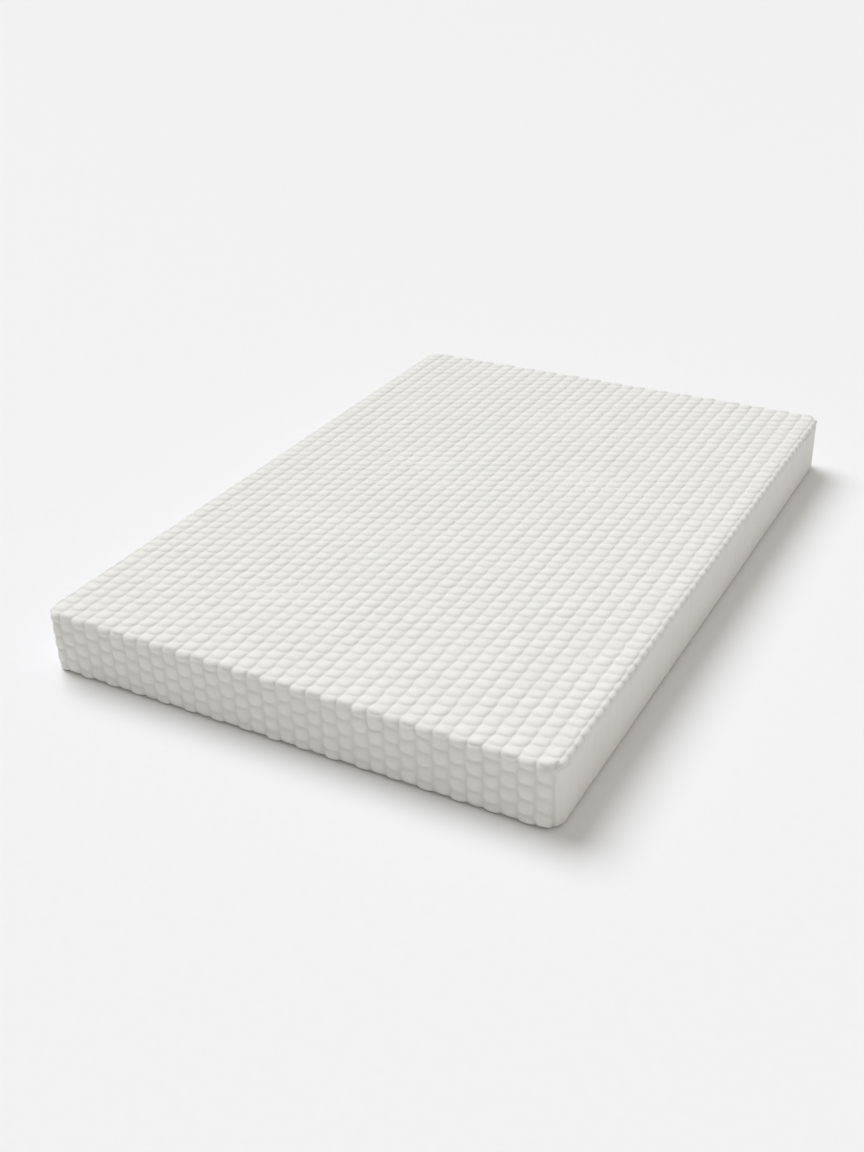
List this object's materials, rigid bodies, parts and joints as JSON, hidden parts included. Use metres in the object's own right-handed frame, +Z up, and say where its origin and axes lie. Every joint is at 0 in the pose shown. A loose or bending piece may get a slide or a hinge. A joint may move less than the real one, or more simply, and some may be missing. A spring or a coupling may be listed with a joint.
{
  "type": "foam mattress",
  "caption": "Foam mattress with a layered foam core, a quilted zip-off cover with rolled top edges, and a sliding zip runner with a swinging pull.",
  "frame": {"origin": "middle of the flat underside, on the surface that the mattress lies on", "axes": "+X across the width, towards the right side seen from the foot end; +Y along the length, towards the head end with the open stretch of the zip; +Z up"},
  "size_m": [1.4, 2, 0.17],
  "materials": {
    "support_foam": "matte",
    "transition_foam": "matte",
    "memory_foam": "matte",
    "base_cloth": "matte",
    "zip_tape": "matte",
    "zip_coil": "satin",
    "zip_metal": "satin",
    "cover_knit": "matte",
    "wadding": "matte",
    "backing_cloth": "matte",
    "seam_tape": "matte",
    "label_cloth": "satin"
  },
  "bodies": {
    "core": {"support_foam": "support_foam", "transition_foam": "transition_foam", "memory_foam": "memory_foam", "base_fabric": "base_cloth", "lower_zip_tape": "zip_tape", "lower_zip_coil": "zip_coil", "lower_zip_stop": "zip_metal"},
    "cover": {"main_face": "cover_knit", "main_wadding": "wadding", "main_backing": "backing_cloth", "side_face_right": "cover_knit", "side_wadding_right": "wadding", "side_backing_right": "backing_cloth", "side_face_left": "cover_knit", "side_wadding_left": "wadding", "side_backing_left": "backing_cloth", "top_seam_tapes": "seam_tape", "corner_seam_tapes": "seam_tape", "upper_zip_tape": "zip_tape", "upper_zip_coil": "zip_coil", "upper_zip_stop": "zip_metal", "care_label": "label_cloth"},
    "slider": {"zip_slider": "zip_metal"},
    "pull": {"zip_pull": "zip_metal"}
  },
  "joints": [
    {"name": "cover_lift", "type": "slide", "parent": "core", "child": "cover", "axis": [0, 0, 1], "range_m": [0, 0.22]},
    {"name": "zip_slide", "type": "slide", "parent": "core", "child": "slider", "axis": [1, 0, 0], "range_m": [0, 1.15]},
    {"name": "pull_swing", "type": "hinge", "parent": "slider", "child": "pull", "pos_m": [-0.6, 0.9942, 0.0152], "axis": [0, 0, 1], "range_deg": [0, 175]}
  ]
}
